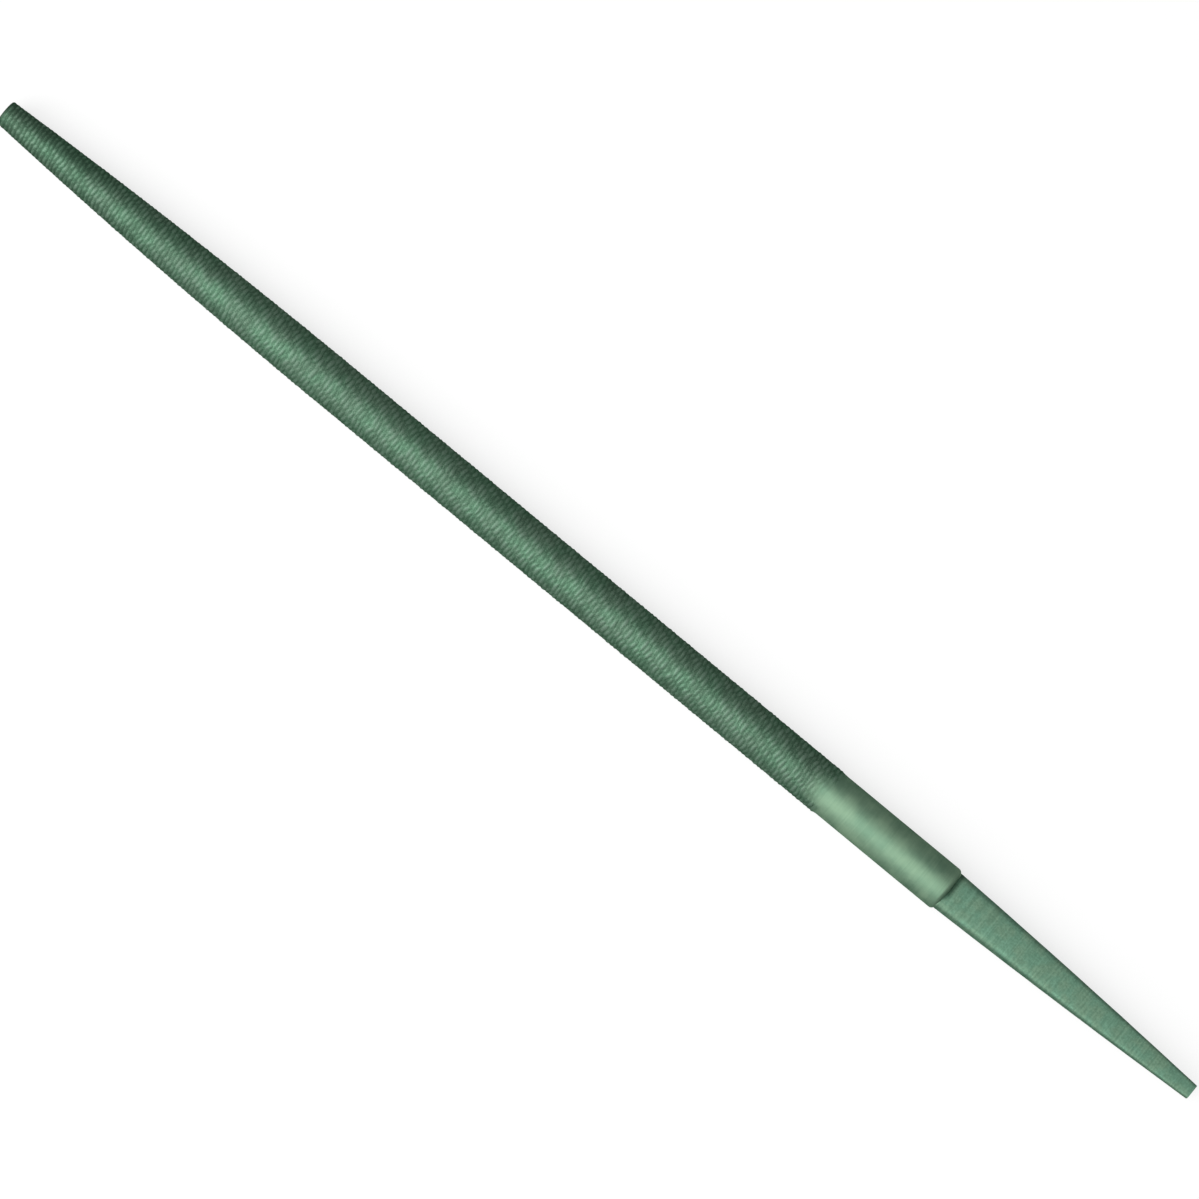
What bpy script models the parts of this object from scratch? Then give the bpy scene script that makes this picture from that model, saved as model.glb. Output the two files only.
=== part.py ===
"""Round file with a bare tang: one steel forging, in metres, +Z up.

The file lies along X, tip towards -X and tang towards +X, with the tang's two
broad flats facing up and down. The origin is on its axis, in the plane of the
shoulder where the tang starts.
"""

import math

import bmesh
import bpy

# Forged blank: parallel, then a long arc down to the flat tip face
body_length = 0.250
blank_diameter = 0.0100
tip_diameter = 0.0054
taper_length = 0.088
tip_edge_radius = 0.0004
tip_margin = 0.0002
tip_steps = 3

# Teeth: two helical cuts cross, as the upcut winds the other way from the overcut
upcut_pitch = 0.00095
upcut_starts = 2
overcut_pitch = 0.00121
overcut_starts = 10

# A chisel sinks each groove into the blank and throws up a crest beside it
groove_depth = 0.00015
crest_rise = 0.00025
crest_upcut_share = 0.3
crest_overcut_share = 0.5

# End of the cut: each row fades out, and every other row stops early
row_pairs = 5
row_step_length = 0.0015
row_fade_length = 0.0030

# Heel, the part of the blank that is left uncut
heel_length = 0.0310
shoulder_radius = 0.0008
shoulder_steps = 4

# Tang, a rounded rectangle that tapers to a square-cut end
tang_length = 0.0647
tang_root_width = 0.0086
tang_root_thickness = 0.0060
tang_root_corner = 0.0010
tang_end_width = 0.0032
tang_end_thickness = 0.0024
tang_end_corner = 0.0004
tang_side_bow = 0.00024
tang_root_depth = 0.0020
tang_sections = 8
corner_steps = 5

sharp_angle = math.radians(25)

# Worked out from the sizes above
tip_drop = (blank_diameter - tip_diameter) / 2
belly_radius = (taper_length ** 2 + tip_drop ** 2) / (2 * tip_drop)
cut_start = tip_edge_radius + tip_margin
cut_end = body_length - heel_length
crossing_rate = overcut_starts / upcut_pitch + upcut_starts / overcut_pitch
groove_turn_share = 1 / (upcut_pitch * crossing_rate)


def blank_radius(along):
    """Radius of the blank at a distance from the tip."""
    into_taper = max(0.0, taper_length - along)
    fall = belly_radius - math.sqrt(belly_radius ** 2 - into_taper ** 2)
    return blank_diameter / 2 - fall


def depth_share(along):
    """The teeth get shallower towards the tip, as the blank gets thinner."""
    return blank_radius(along) / (blank_diameter / 2)


def crest_radius(along):
    return blank_radius(along) + crest_rise * depth_share(along)


def groove_radius(along):
    """Radius at the ends of a groove, which runs as a straight chord from end to end."""
    middle = blank_radius(along) - groove_depth * depth_share(along)
    return middle / math.cos(math.pi * groove_turn_share)


def cut_share(along, turns):
    """How much of the tooth is there: 1 along the cut, 0 where its row has ended."""
    early_share = (1 + math.cos(2 * math.pi * row_pairs * turns)) / 2
    row_end = cut_end - row_step_length * early_share
    return min(1.0, max(0.0, (row_end - along) / row_fade_length))


def crossing(up, over):
    """Place where two grooves cross: metres from the tip, and turns round the axis."""
    along = cut_start + (overcut_starts * up + upcut_starts * over) / crossing_rate
    turns = (over / upcut_pitch - up / overcut_pitch) / crossing_rate
    return along, turns


def on_round(along, angle, radius):
    """Point at a radius and an angle round the file's axis."""
    return (along - body_length, radius * math.cos(angle), radius * math.sin(angle))


def tooth_vertex(bm, up, over, full_radius):
    """Vertex of a tooth, drawn back to the blank where its row has ended."""
    along, turns = crossing(up, over)
    share = cut_share(along, turns)
    radius = blank_radius(along) * (1 - share) + full_radius(along) * share
    return bm.verts.new(on_round(along, 2 * math.pi * turns, radius))


def cut_teeth(bm):
    """Raise one four-sided tooth between each pair of upcut and overcut grooves."""
    corners = {}

    def corner(up, over):
        rounds, home = divmod(over, overcut_starts)
        key = (up + rounds * upcut_starts, home)
        if key not in corners:
            corners[key] = tooth_vertex(bm, key[0], key[1], groove_radius)
        return corners[key]

    ragged = upcut_starts * overcut_starts
    grooves = int(((cut_end - cut_start) * crossing_rate - ragged) / overcut_starts)
    for up in range(grooves):
        for over in range(overcut_starts):
            crest_place = (up + crest_upcut_share, over + crest_overcut_share)
            crest = tooth_vertex(bm, *crest_place, crest_radius)
            foot = [
                corner(up, over),
                corner(up, over + 1),
                corner(up + 1, over + 1),
                corner(up + 1, over),
            ]
            for first, second in zip(foot, foot[1:] + foot[:1]):
                bm.faces.new((first, second, crest))


def angle_round(vertex):
    return math.atan2(vertex.co.z, vertex.co.y)


def open_rims(bm):
    """Double the vertices of the cut's two open ends, out on the blank, as two loops."""
    rim = [edge for edge in bm.edges if edge.is_boundary]
    split = bmesh.ops.subdivide_edges(bm, edges=rim, cuts=1)
    for item in split["geom_inner"]:
        if isinstance(item, bmesh.types.BMVert):
            along = item.co.x + body_length
            item.co = on_round(along, angle_round(item), blank_radius(along))
    rim_vertices = {vertex for edge in bm.edges if edge.is_boundary for vertex in edge.verts}
    middle_x = cut_end / 2 - body_length
    front = sorted((v for v in rim_vertices if v.co.x < middle_x), key=angle_round)
    back = sorted((v for v in rim_vertices if v.co.x > middle_x), key=angle_round)
    return front, back


def skin(bm, loop, points):
    """Add a loop with as many vertices at the points, joined to the last loop by quads."""
    fresh = [bm.verts.new(point) for point in points]
    for index, vertex in enumerate(loop):
        before = index - 1
        bm.faces.new((loop[before], vertex, fresh[index], fresh[before]))
    return fresh


def close_round(bm, loop, face_along, edge_radius, steps, radius):
    """Run a loop along the blank, round its edge, and fill the flat face at its end."""
    towards = 1 if face_along > cut_end else -1
    for step in range(steps + 1):
        bend = math.pi / 2 * step / steps
        along = face_along - towards * edge_radius * (1 - math.sin(bend))
        inward = edge_radius * (1 - math.cos(bend))
        ring = [on_round(along, angle_round(vertex), radius - inward) for vertex in loop]
        loop = skin(bm, loop, ring)
    bm.faces.new(loop)


def finish_mesh(bm, name):
    """Turn a closed bmesh into a mesh with its faces outward and its round faces smooth."""
    bmesh.ops.recalc_face_normals(bm, faces=bm.faces)
    mesh = bpy.data.meshes.new(name)
    bm.to_mesh(mesh)
    bm.free()
    mesh.shade_smooth()
    mesh.set_sharp_from_angle(angle=sharp_angle)
    return mesh


def body_mesh():
    """Toothed body and plain heel as one closed shape."""
    bm = bmesh.new()
    cut_teeth(bm)
    front, back = open_rims(bm)
    close_round(bm, front, 0.0, tip_edge_radius, tip_steps, blank_radius(0.0))
    close_round(bm, back, body_length, shoulder_radius, shoulder_steps, blank_diameter / 2)
    return finish_mesh(bm, "round_file")


def between(root, end, share):
    return root + (end - root) * share


def tang_section(x, share):
    """Rounded rectangle of the tang at x, sized for a share of its length from the root."""
    bow = tang_side_bow * 4 * share * (1 - share)
    half_width = between(tang_root_width, tang_end_width, share) / 2 + bow
    half_thickness = between(tang_root_thickness, tang_end_thickness, share) / 2
    corner = between(tang_root_corner, tang_end_corner, share)
    points = []
    for quarter, (side, face) in enumerate(((1, 1), (-1, 1), (-1, -1), (1, -1))):
        for step in range(corner_steps + 1):
            angle = math.pi / 2 * (quarter + step / corner_steps)
            y = side * (half_width - corner) + corner * math.cos(angle)
            z = face * (half_thickness - corner) + corner * math.sin(angle)
            points.append((x, y, z))
    return points


def tang_mesh():
    """Tapered tang, with a straight root that stands inside the heel."""
    bm = bmesh.new()
    loop = [bm.verts.new(point) for point in tang_section(-tang_root_depth, 0.0)]
    bm.faces.new(loop)
    for section in range(tang_sections + 1):
        share = section / tang_sections
        loop = skin(bm, loop, tang_section(tang_length * share, share))
    bm.faces.new(loop)
    return finish_mesh(bm, "tang_form")


def file_steel():
    """Hardened file steel with a green-grey cast."""
    material = bpy.data.materials.new("file_steel")
    material.use_nodes = True
    shader = material.node_tree.nodes["Principled BSDF"]
    shader.inputs["Base Color"].default_value = (0.22, 0.38, 0.26, 1.0)
    shader.inputs["Metallic"].default_value = 1.0
    shader.inputs["Roughness"].default_value = 0.6
    return material


def place(mesh, material):
    piece = bpy.data.objects.new(mesh.name, mesh)
    mesh.materials.append(material)
    bpy.context.scene.collection.objects.link(piece)
    return piece


def build_file():
    """Join the tang to the body, as the two are one forging."""
    steel = file_steel()
    body = place(body_mesh(), steel)
    tang = place(tang_mesh(), steel)
    tang.hide_render = True
    tang.display_type = "WIRE"
    forging = body.modifiers.new("forged_tang", "BOOLEAN")
    forging.operation = "UNION"
    forging.solver = "EXACT"
    forging.object = tang


for old in list(bpy.data.objects):
    bpy.data.objects.remove(old)
build_file()
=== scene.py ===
"""Looks of a round file: a toothed steel body, its plain heel and its bare tang.

All sizes are in metres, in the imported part's frame. X runs along the file, the tip
is towards -X and the tang towards +X, and the file's axis is at y = z = 0.
"""

import math

import bmesh
import bpy
from mathutils import Matrix, Vector, noise


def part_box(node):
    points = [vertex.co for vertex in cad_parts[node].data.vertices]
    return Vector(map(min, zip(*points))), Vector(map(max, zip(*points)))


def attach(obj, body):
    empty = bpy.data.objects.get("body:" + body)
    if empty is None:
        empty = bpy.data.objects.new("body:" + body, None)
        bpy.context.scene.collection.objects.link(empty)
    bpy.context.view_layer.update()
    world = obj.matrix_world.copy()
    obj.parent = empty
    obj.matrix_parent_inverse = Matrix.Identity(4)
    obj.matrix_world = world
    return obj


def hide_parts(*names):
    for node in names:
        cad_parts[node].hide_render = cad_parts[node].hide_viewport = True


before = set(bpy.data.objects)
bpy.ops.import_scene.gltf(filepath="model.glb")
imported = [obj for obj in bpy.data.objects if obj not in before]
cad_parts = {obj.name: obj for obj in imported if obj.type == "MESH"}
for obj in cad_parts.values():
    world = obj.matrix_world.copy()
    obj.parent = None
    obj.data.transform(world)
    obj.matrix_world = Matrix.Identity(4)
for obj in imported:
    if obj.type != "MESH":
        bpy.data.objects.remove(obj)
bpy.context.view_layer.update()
low_corner, high_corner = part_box("round_file")

# Toothed body: the blank is forged and ground from high-carbon steel, parallel and
# then tapered in a long arc to the tip. A chisel cuts it twice. The upcut winds
# round it like a fine thread, and the overcut lies the other way in ten rows.
tip_x = low_corner.x
crest_rise = 0.00025
groove_rise = 0.00006
blank_radius = high_corner.z - crest_rise
tip_radius = 0.0027
taper_length = 0.088
tip_edge_radius = 0.00035
tip_edge_steps = 4
tip_drop = blank_radius - tip_radius
belly_radius = (taper_length**2 + tip_drop**2) / (2 * tip_drop)

upcut_pitch = 0.00095
upcut_starts = 2
upcut_crest_share = 1 / 3
overcut_pitch = 0.00121
overcut_starts = 10
overcut_crest_share = 2 / 5
overcut_weight = 0.32
overcut_sway = 0.08
sway_rounds = 10
row_weight = 0.28

heel_length = 0.0310
cut_end = -tip_x - heel_length
early_row = 3
early_row_gap = 5
row_step_length = 0.0010
row_fade_length = 0.0010
early_fade_length = 0.0050

tooth_spread = 0.3
overcut_fall = 0.7
tip_wear = 0.2
# How much darker the teeth are coloured towards the tip
tip_darkening = 0.4
wear_spread = 0.1
wear_patch_size = 0.009
drift_size = 0.003
drift_reach = 0.00035
drift_seed = 1

upcut_divisions = 6
overcut_divisions = 5
grooves_before = 3
grooves_after = 2
merge_distance = 0.000001


def radius_at(along):
    """Radius of the uncut blank at a distance from the tip."""
    into_taper = max(0.0, taper_length - along)
    return blank_radius - belly_radius + math.sqrt(belly_radius**2 - into_taper**2)


def crossing(up, over):
    """Where two grooves cross: metres from the tip, and turns round the axis."""
    pitch_ratio = upcut_pitch / overcut_pitch
    turns = 0.0
    for _ in range(sway_rounds):
        sway = overcut_sway * math.sin(math.tau * overcut_starts * turns)
        turns = (over - up * pitch_ratio + sway) / (overcut_starts + upcut_starts * pitch_ratio)
    return upcut_pitch * (up + upcut_starts * turns), turns


def ridge(share, crest_share):
    """Height of a raked ridge over one pitch, steep on the side that faces the tip."""
    return share / crest_share if share < crest_share else (1 - share) / (1 - crest_share)


def early_share(turns):
    """How early the chisel stopped in the row at these turns: 0 latest, 1 earliest."""
    row = math.floor(overcut_starts * turns) + 0.5
    return (0.5 + 0.5 * math.cos(math.tau * (row - early_row) / early_row_gap)) ** 2


def cut_share(along, turns):
    """How much of the cut is there: 1 along the body, 0 where its row has ended."""
    early = early_share(turns)
    fade = row_fade_length + early_fade_length * early
    return min(1.0, max(0.0, (cut_end - row_step_length * early - along) / fade))


def tooth_height(up, over, depth):
    """Height over the lowest pits, from 0 to 1. Each tooth stands a little differently.

    At a depth below 1 the overcut counts for less, and the upcut for more.
    """
    upcut = ridge(up % 1, upcut_crest_share)
    overcut = ridge(over % 1, overcut_crest_share)
    off_row = up - upcut_crest_share - over + overcut_crest_share
    row = abs(2 * (off_row % 1) - 1)
    rounds, home = divmod(math.floor(over), overcut_starts)
    tooth_place = Vector((math.floor(up) + rounds * upcut_starts + 0.5, home + 0.5, 0.5))
    stand = 1 - tooth_spread * noise.cell(tooth_place)
    crossed = overcut_weight * (overcut - upcut) + row_weight * (row - upcut)
    return (upcut + crossed * depth) * stand


def around(along, turns, radius):
    """Point at a distance from the tip, at a radius round the axis."""
    angle = math.tau * turns
    return Vector((tip_x + along, radius * math.cos(angle), radius * math.sin(angle)))


def unevenness(point, size):
    """Smooth random value from about -1 to 1, in patches of a size."""
    return noise.noise(point / size)


def cut_body(bm):
    """Wrap a flat grid round the blank along the two cuts, and raise its teeth."""
    tooth = bm.verts.layers.float.new("tooth")
    cut = bm.verts.layers.float.new("cut")
    ups = grooves_before + math.ceil(cut_end / crossing(1, 0)[0]) + grooves_after
    up_steps = ups * upcut_divisions
    over_steps = overcut_starts * overcut_divisions
    bmesh.ops.create_grid(bm, x_segments=up_steps, y_segments=over_steps, size=0.5)
    for vertex in bm.verts:
        up = round((vertex.co.x + 0.5) * up_steps) / upcut_divisions - grooves_before
        over = round((vertex.co.y + 0.5) * over_steps) / overcut_divisions
        along, turns = crossing(up, over)
        base = radius_at(along)
        place = around(along, turns, base)
        thinning = 1 - base / blank_radius
        wear = 1 - tip_wear * thinning + wear_spread * unevenness(place, wear_patch_size)
        height = min(1.0, tooth_height(up, over, 1 - overcut_fall * thinning) * wear)
        share = cut_share(along, turns)
        rise = (groove_rise + (crest_rise - groove_rise) * height) * share
        drift = noise.noise_vector(place / drift_size) * drift_reach
        shifted = turns + drift.y / (math.tau * base)
        vertex.co = around(along + drift.x, shifted, base + rise * base / blank_radius)
        # Tooth value lowered towards the tip, so the teeth are coloured darker there
        vertex[tooth] = height - tip_darkening * thinning
        vertex[cut] = share
    bmesh.ops.remove_doubles(bm, verts=bm.verts, dist=merge_distance)


def trim(bm, x, towards):
    """Cut everything off that lies beyond x, towards -1 or +1 along the file."""
    geometry = bm.verts[:] + bm.edges[:] + bm.faces[:]
    bmesh.ops.bisect_plane(
        bm,
        geom=geometry,
        dist=merge_distance,
        plane_co=(x, 0, 0),
        plane_no=(towards, 0, 0),
        clear_outer=True,
    )


def open_edges(bm, low_x, high_x):
    """Edges of the open rims between two places along the file."""
    return [e for e in bm.edges if e.is_boundary and low_x < e.verts[0].co.x < high_x]


def close_tip(bm):
    """Round the tip's edge and close its flat end face."""
    for step in range(1, tip_edge_steps + 1):
        share = step / tip_edge_steps
        bend = share * math.pi / 2
        even = tip_radius - tip_edge_radius * (1 - math.cos(bend))
        rim = open_edges(bm, -math.inf, tip_x + taper_length)
        grown = bmesh.ops.extrude_edge_only(bm, edges=rim)["geom"]
        for vertex in (v for v in grown if isinstance(v, bmesh.types.BMVert)):
            outward = Vector((0, vertex.co.y, vertex.co.z))
            radius = outward.length + (even - outward.length) * share
            vertex.co = outward.normalized() * radius
            vertex.co.x = tip_x + tip_edge_radius * (1 - math.sin(bend))
    bmesh.ops.contextual_create(bm, geom=open_edges(bm, -math.inf, tip_x + taper_length))


noise.seed_set(drift_seed)
body = bmesh.new()
cut_body(body)
trim(body, tip_x + tip_edge_radius, -1)
trim(body, tip_x + cut_end, 1)
close_tip(body)

steel_edge = (0.1, 0.2, 0.13, 1)
ground_dark = (0.2, 0.34, 0.235, 1)
ground_light = (0.315, 0.475, 0.332, 1)
flank_green = (0.173, 0.32, 0.216, 1)
flank_grey = (0.208, 0.318, 0.235, 1)
flank_speckle = (0.095, 0.195, 0.124, 1)
# Groove colour: grime together with painted shade in the pits; the painted shadow behind the
# tang's shoulder uses it too
dirt_and_painted_shade = (0.03, 0.075, 0.043, 1)
# Crest colour: wear together with a painted glint on the tooth crests
crest_wear_and_painted_glint = (0.335, 0.45, 0.372, 1)
line_stretch = (1, 0.04, 0.04)
line_share = 0.25
grinding_depth = 0.000015


def add_node(tree, kind, inputs, **settings):
    """Add a shader node with its settings, and set or link its inputs by name or place."""
    node = tree.nodes.new("ShaderNode" + kind)
    for name, value in settings.items():
        setattr(node, name, value)
    for name, value in inputs.items():
        if isinstance(value, bpy.types.NodeSocket):
            tree.links.new(value, node.inputs[name])
        else:
            node.inputs[name].default_value = value
    return node


def blended(tree, share, first, second):
    """Colour between two colours, by a share."""
    inputs = {0: share, 6: first, 7: second}
    return add_node(tree, "Mix", inputs, data_type="RGBA").outputs[2]


def reckoned(tree, operation, first, second):
    """Result of a sum on two values."""
    return add_node(tree, "Math", {0: first, 1: second}, operation=operation).outputs[0]


def spread(tree, value, low, high, new_low, new_high):
    """Value moved from one range to another, and held inside the new one."""
    ends = {"From Min": low, "From Max": high, "To Min": new_low, "To Max": new_high}
    return add_node(tree, "MapRange", {"Value": value} | ends).outputs[0]


def steel_grain():
    """Group for the marks all the steel shares: soft patches, fine grain, grinding lines."""
    group = bpy.data.node_groups.new("steel_grain", "ShaderNodeTree")
    group.interface.new_socket("Place", in_out="INPUT", socket_type="NodeSocketVector")
    for name in ("Patch Size", "Grain Size", "Line Width"):
        group.interface.new_socket(name, in_out="INPUT", socket_type="NodeSocketFloat")
    for name in ("Patches", "Grain", "Lines"):
        group.interface.new_socket(name, in_out="OUTPUT", socket_type="NodeSocketFloat")
    given = group.nodes.new("NodeGroupInput").outputs
    out = group.nodes.new("NodeGroupOutput").inputs

    def noise_at(place, size, detail):
        inputs = {"Vector": place, "Scale": reckoned(group, "DIVIDE", 1.0, size), "Detail": detail}
        return add_node(group, "TexNoise", inputs).outputs["Fac"]

    stretched = add_node(group, "Mapping", {"Vector": given["Place"], "Scale": line_stretch})
    group.links.new(noise_at(given["Place"], given["Patch Size"], 3), out["Patches"])
    group.links.new(noise_at(given["Place"], given["Grain Size"], 2), out["Grain"])
    group.links.new(noise_at(stretched.outputs[0], given["Line Width"], 2), out["Lines"])
    return group


grain_group = steel_grain()


def new_finish(name, patch_size, grain_size, line_width):
    """Steel with the shared marks ready to use: material, tree, shader and the marks."""
    material = bpy.data.materials.new(name)
    material.use_nodes = True
    tree = material.node_tree
    inputs = {
        "Place": add_node(tree, "TexCoord", {}).outputs["Object"],
        "Patch Size": patch_size,
        "Grain Size": grain_size,
        "Line Width": line_width,
    }
    marks = add_node(tree, "Group", inputs, node_tree=grain_group).outputs
    shader = tree.nodes["Principled BSDF"]
    shader.inputs["Metallic"].default_value = 1
    shader.inputs["Specular Tint"].default_value = steel_edge
    return material, tree, shader, marks


def raised(tree, height, distance):
    """Normal of a bump, from a height and how far a height of 1 stands out."""
    inputs = {"Strength": 1.0, "Distance": distance, "Height": height}
    return add_node(tree, "Bump", inputs).outputs[0]


def toothed_steel():
    """Hardened steel: satin where it is ground, grime and painted shade in the grooves, wear and
    painted glints on the crests.
    """
    material, tree, shader, marks = new_finish(
        "toothed_steel", patch_size=0.005, grain_size=0.0002, line_width=0.0003
    )
    tooth = add_node(tree, "Attribute", {}, attribute_name="tooth").outputs["Fac"]
    cut = add_node(tree, "Attribute", {}, attribute_name="cut").outputs["Fac"]

    streaks = reckoned(tree, "MULTIPLY", marks["Lines"], line_share)
    streaks = spread(tree, reckoned(tree, "ADD", marks["Patches"], streaks), 0.45, 0.8, 0, 1)
    ground = blended(tree, streaks, ground_dark, ground_light)

    patches = spread(tree, marks["Patches"], 0.4, 0.6, 0, 1)
    speckle = spread(tree, marks["Grain"], 0.36, 0.64, 0, 1)
    flank = blended(tree, patches, flank_green, flank_grey)
    flank = blended(tree, speckle, flank_speckle, flank)

    # Grooves darkened: grime and painted shade, standing in for the shade that falls in the pits
    pit = reckoned(tree, "MULTIPLY", spread(tree, tooth, 0.15, 0.5, 0.6, 0), cut)
    # Crests lightened: wear and a painted glint where the crests catch the light
    crest = reckoned(tree, "MULTIPLY", spread(tree, tooth, 0.5, 0.8, 0, 0.3), cut)
    colour = blended(tree, cut, ground, flank)
    colour = blended(tree, pit, colour, dirt_and_painted_shade)
    colour = blended(tree, crest, colour, crest_wear_and_painted_glint)
    tree.links.new(colour, shader.inputs["Base Color"])

    rough = spread(tree, marks["Patches"], 0.3, 0.7, 0.60, 0.70)
    rough = reckoned(tree, "ADD", rough, reckoned(tree, "MULTIPLY", cut, 0.02))
    tree.links.new(rough, shader.inputs["Roughness"])
    height = reckoned(tree, "ADD", marks["Grain"], marks["Lines"])
    tree.links.new(raised(tree, height, grinding_depth), shader.inputs["Normal"])
    return material


# Heel and tang: the end of the same forging, left uncut. The heel is ground smooth
# and steps down at a rounded shoulder to the tang, which is drawn out to a taper
# and left soft, for a handle to be driven onto.
heel_gap = 0.0005
heel_rings = 12
heel_sides = 128
shoulder_radius = 0.0010
shoulder_steps = 8
grinding_waver = 0.000012
waver_width = 0.0018
waver_stretch = 12

tang_length = high_corner.x
tang_root_width = 0.0086
tang_root_thickness = 0.0060
tang_root_corner = 0.0012
tang_root_depth = 0.0020
tang_end_share = 0.385
tang_side_bow = 0.00024
tang_crown_share = 0.08
tang_corner_segments = 5
tang_rings = 40
tang_lanes = 8
forge_swell = 0.00003
swell_size = 0.005
swell_start = 4

scale_green = (0.213, 0.40, 0.285, 1)
scale_grey = (0.255, 0.415, 0.293, 1)
scored_dark = (0.09, 0.2, 0.135, 1)
scale_depth = 0.00003
# Painted shadow behind the shoulder: full up to this far along the tang, gone at the reach
painted_shadow_full = 0.0006
painted_shadow_reach = 0.0013
sharp_angle = math.radians(38)


def turned_heel():
    """Spin the heel's outline round the axis, with a closed front face for the union."""
    bm = bmesh.new()
    front = tip_x + cut_end + heel_gap
    back = -shoulder_radius
    outline = [(front, 0)]
    for step in range(heel_rings + 1):
        outline.append((front + (back - front) * step / heel_rings, blank_radius))
    for step in range(1, shoulder_steps + 1):
        bend = math.pi / 2 * step / shoulder_steps
        reach = shoulder_radius * math.sin(bend)
        drop = shoulder_radius * (1 - math.cos(bend))
        outline.append((back + reach, blank_radius - drop))
    outline.append((0, 0))
    points = [bm.verts.new((x, radius, 0)) for x, radius in outline]
    edges = [bm.edges.new(pair) for pair in zip(points, points[1:])]
    bmesh.ops.spin(
        bm,
        geom=points + edges,
        cent=(0, 0, 0),
        axis=(1, 0, 0),
        angle=math.tau,
        steps=heel_sides,
        use_merge=True,
        use_duplicate=False,
    )
    bmesh.ops.remove_doubles(bm, verts=bm.verts, dist=merge_distance)
    for vertex in bm.verts:
        outward = Vector((0, vertex.co.y, vertex.co.z))
        lengthwise = Vector((vertex.co.x / waver_stretch, vertex.co.y, vertex.co.z))
        waver = grinding_waver * (unevenness(lengthwise, waver_width) - 1)
        vertex.co += outward / blank_radius * waver
    bmesh.ops.recalc_face_normals(bm, faces=bm.faces)
    return bm


def slice_at(bm, places, axis):
    """Cut rings of edges through a shape at places along an axis."""
    for place in places:
        geometry = bm.verts[:] + bm.edges[:] + bm.faces[:]
        bmesh.ops.bisect_plane(
            bm, geom=geometry, dist=merge_distance, plane_co=axis * place, plane_no=axis
        )


def drawn_tang():
    """Start from a straight bar with rounded corners, and draw it out to a taper."""
    bm = bmesh.new()
    bmesh.ops.create_cube(bm, size=1)
    bar_length = tang_length + tang_root_depth
    bmesh.ops.scale(bm, vec=(bar_length, tang_root_width, tang_root_thickness), verts=bm.verts)
    bmesh.ops.translate(bm, vec=(bar_length / 2 - tang_root_depth, 0, 0), verts=bm.verts)
    long_edges = [e for e in bm.edges if abs(e.verts[0].co.x - e.verts[1].co.x) > tang_length]
    bmesh.ops.bevel(
        bm,
        geom=long_edges,
        offset=tang_root_corner,
        offset_type="OFFSET",
        affect="EDGES",
        segments=tang_corner_segments,
        profile=0.5,
        material=-1,
    )
    rings = [tang_length * ring / tang_rings for ring in range(tang_rings)]
    lanes = [2 * lane / tang_lanes - 1 for lane in range(1, tang_lanes)]
    half_width = tang_root_width / 2 - tang_root_corner
    half_thickness = tang_root_thickness / 2 - tang_root_corner
    slice_at(bm, rings, Vector((1, 0, 0)))
    slice_at(bm, [half_width * lane for lane in lanes], Vector((0, 1, 0)))
    slice_at(bm, [half_thickness * lane for lane in lanes], Vector((0, 0, 1)))
    for vertex in bm.verts:
        share = max(0.0, vertex.co.x / tang_length)
        taper = 1 - (1 - tang_end_share) * share
        bow = tang_side_bow * 4 * share * (1 - share) / (tang_root_width / 2)
        outward = Vector((0, vertex.co.y, vertex.co.z)).normalized()
        swell = forge_swell * unevenness(vertex.co, swell_size) * min(1.0, swell_start * share)
        crown = 1 - tang_crown_share * (2 * vertex.co.y / tang_root_width) ** 2
        vertex.co.y *= taper + bow
        vertex.co.z *= taper * crown
        vertex.co += outward * swell
    bmesh.ops.recalc_face_normals(bm, faces=bm.faces)
    return bm


def as_object(bm, name):
    """Turn a bmesh into an object of that name."""
    mesh = bpy.data.meshes.new(name)
    bm.to_mesh(mesh)
    bm.free()
    piece = bpy.data.objects.new(name, mesh)
    bpy.context.scene.collection.objects.link(piece)
    return piece


def united(first, second):
    """Mesh of two closed shapes as one, whose objects are then removed."""
    union = first.modifiers.new("one_forging", "BOOLEAN")
    union.operation = "UNION"
    union.solver = "EXACT"
    union.object = second
    drawn = bpy.context.evaluated_depsgraph_get()
    mesh = bpy.data.meshes.new_from_object(first.evaluated_get(drawn))
    for used in (first, second):
        bpy.data.meshes.remove(used.data)
    return mesh


def tang_steel():
    """Soft steel of the tang, with a faint scale from the forge and a painted shadow in its
    corner.
    """
    material, tree, shader, marks = new_finish(
        "tang_steel", patch_size=0.003, grain_size=0.0005, line_width=0.0005
    )
    marbled = spread(tree, marks["Patches"], 0.4, 0.6, 0, 1)
    scale = blended(tree, marbled, scale_green, scale_grey)
    height = reckoned(tree, "ADD", marks["Grain"], marks["Lines"])
    scored = spread(tree, height, 0.8, 1.2, 0.45, 0)
    colour = blended(tree, scored, scale, scored_dark)

    # Painted shadow of the shoulder on the tang's root, fading out towards the tang's -Y edge, the
    # side the light comes from
    place = add_node(tree, "TexCoord", {}).outputs["Object"]
    place = add_node(tree, "SeparateXYZ", {"Vector": place}).outputs
    painted_shadow = spread(tree, place["X"], painted_shadow_full, painted_shadow_reach, 0.75, 0)
    shaded_share = spread(tree, place["Y"], -0.0026, -0.001, 0.2, 1)
    painted_shadow = reckoned(tree, "MULTIPLY", painted_shadow, shaded_share)
    colour = blended(tree, painted_shadow, colour, dirt_and_painted_shade)
    tree.links.new(colour, shader.inputs["Base Color"])

    rough = spread(tree, marks["Patches"], 0.3, 0.7, 0.58, 0.70)
    tree.links.new(rough, shader.inputs["Roughness"])
    tree.links.new(raised(tree, height, scale_depth), shader.inputs["Normal"])
    return material


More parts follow.
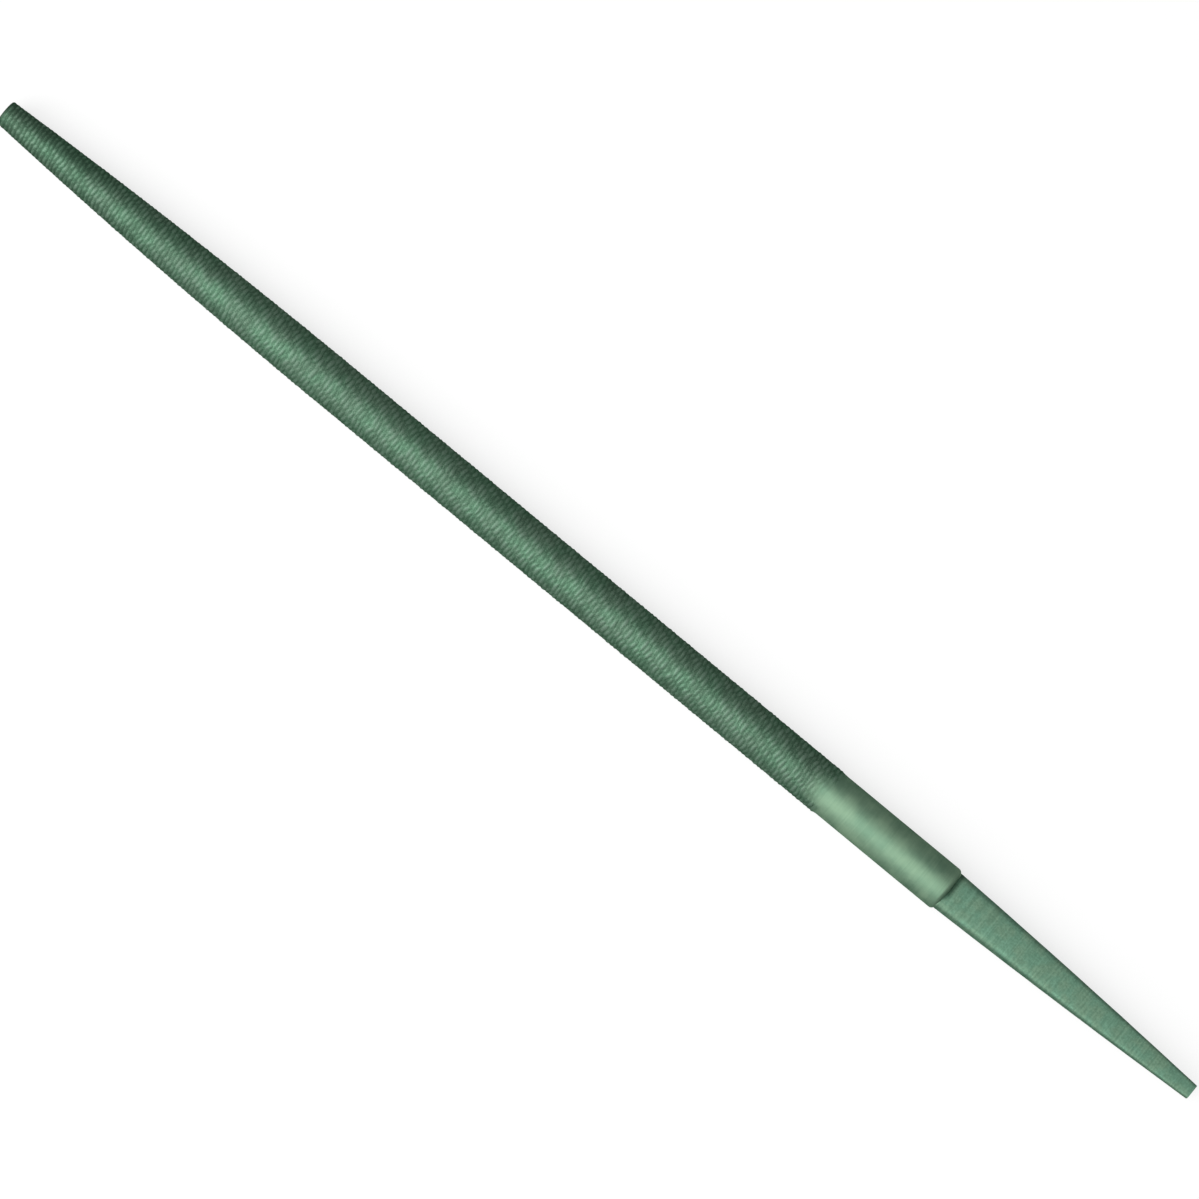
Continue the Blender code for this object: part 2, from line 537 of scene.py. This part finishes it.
end = bmesh.new()
end.from_mesh(united(as_object(turned_heel(), "heel_form"), as_object(drawn_tang(), "tang_form")))
front_x = tip_x + cut_end + heel_gap
front_faces = [f for f in end.faces if f.calc_center_median().x < front_x + merge_distance]
bmesh.ops.delete(end, geom=front_faces, context="FACES")
end_mesh = bpy.data.meshes.new("heel_and_tang")
end.to_mesh(end_mesh)
end.free()

body.from_mesh(end_mesh)
bpy.data.meshes.remove(end_mesh)
bmesh.ops.bridge_loops(body, edges=open_edges(body, tip_x + taper_length, 0))
bmesh.ops.recalc_face_normals(body, faces=body.faces)
for face in body.faces:
    face.material_index = 1 if face.calc_center_median().x > 0 else 0

file_piece = as_object(body, "file_forging")
file_piece.data.shade_smooth()
file_piece.data.set_sharp_from_angle(angle=sharp_angle)
file_piece.data.materials.append(toothed_steel())
file_piece.data.materials.append(tang_steel())
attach(file_piece, "root")
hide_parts("round_file")


# Studio: a pale floor, one broad soft light on the file's lower left side in the
# picture, and a camera with a long lens, nearly overhead and turned about its view.
# The floor is white to the camera, but rough steel takes up only a tenth of it.
camera_elevation = math.radians(82)
picture_turn = math.radians(39.557)
picture_width = 0.2452
lens = 200
sensor = 36
view_end = 10
aim = Vector((-0.0928, 0.00058, 0))
camera_distance = picture_width * lens / sensor

floor_reach = 3
floor_grey = (0.3, 0.3, 0.3, 1)
floor_white = (0.73, 0.73, 0.73, 1)
floor_roughness = 0.9
white_on_steel = 0.1
sky_white = (1, 1, 1, 1)
sky_strength = 0.28

camera = bpy.data.objects.new("camera", bpy.data.cameras.new("camera"))
bpy.context.scene.collection.objects.link(camera)
bpy.context.scene.camera = camera
camera.data.lens = lens
camera.data.sensor_width = sensor
camera.data.clip_end = view_end
tilt = Matrix.Rotation(math.pi / 2 - camera_elevation, 4, "X")
roll = Matrix.Rotation(picture_turn, 4, "Z")
back = Vector((0, -math.cos(camera_elevation), math.sin(camera_elevation)))
camera.matrix_world = Matrix.Translation(aim + back * camera_distance) @ tilt @ roll


def white_seen(tree):
    """How much of the floor's white a ray sees: all in camera and glass, a share in steel."""
    rays = add_node(tree, "LightPath", {}).outputs
    steel = reckoned(tree, "MULTIPLY", rays["Is Glossy Ray"], white_on_steel)
    seen = reckoned(tree, "ADD", steel, rays["Is Camera Ray"])
    return reckoned(tree, "ADD", seen, rays["Is Transmission Ray"])


floor_bm = bmesh.new()
bmesh.ops.create_grid(floor_bm, x_segments=1, y_segments=1, size=floor_reach)
bmesh.ops.translate(floor_bm, vec=(0, 0, low_corner.z), verts=floor_bm.verts)
floor = as_object(floor_bm, "floor")
floor_paint = bpy.data.materials.new("floor_paint")
floor_paint.use_nodes = True
floor_tree = floor_paint.node_tree
floor_shader = floor_tree.nodes["Principled BSDF"]
floor_shader.inputs["Base Color"].default_value = floor_grey
floor_shader.inputs["Roughness"].default_value = floor_roughness
floor_shader.inputs["Emission Color"].default_value = floor_white
floor_tree.links.new(white_seen(floor_tree), floor_shader.inputs["Emission Strength"])
floor.data.materials.append(floor_paint)


def soft_light(name, azimuth, elevation, distance, width, height, power):
    """Area light that faces the middle of the picture. Azimuth 0 is on the -Y side."""
    lamp = bpy.data.lights.new(name, "AREA")
    lamp.shape = "RECTANGLE"
    lamp.size = width
    lamp.size_y = height
    lamp.energy = power
    light = bpy.data.objects.new(name, lamp)
    bpy.context.scene.collection.objects.link(light)
    turn = Matrix.Rotation(math.radians(azimuth), 4, "Z")
    lift = Matrix.Rotation(math.radians(90 - elevation), 4, "X")
    light.matrix_world = turn @ lift @ Matrix.Translation((0, 0, distance))
    light.matrix_world.translation += aim


soft_light("key_light", azimuth=-26, elevation=51, distance=1.0, width=0.9, height=1.5, power=14)

world = bpy.data.worlds.new("studio")
bpy.context.scene.world = world
world.use_nodes = True
sky = world.node_tree.nodes["Background"].inputs
sky["Color"].default_value = sky_white
sky["Strength"].default_value = sky_strength

bpy.context.scene.view_settings.view_transform = "Standard"
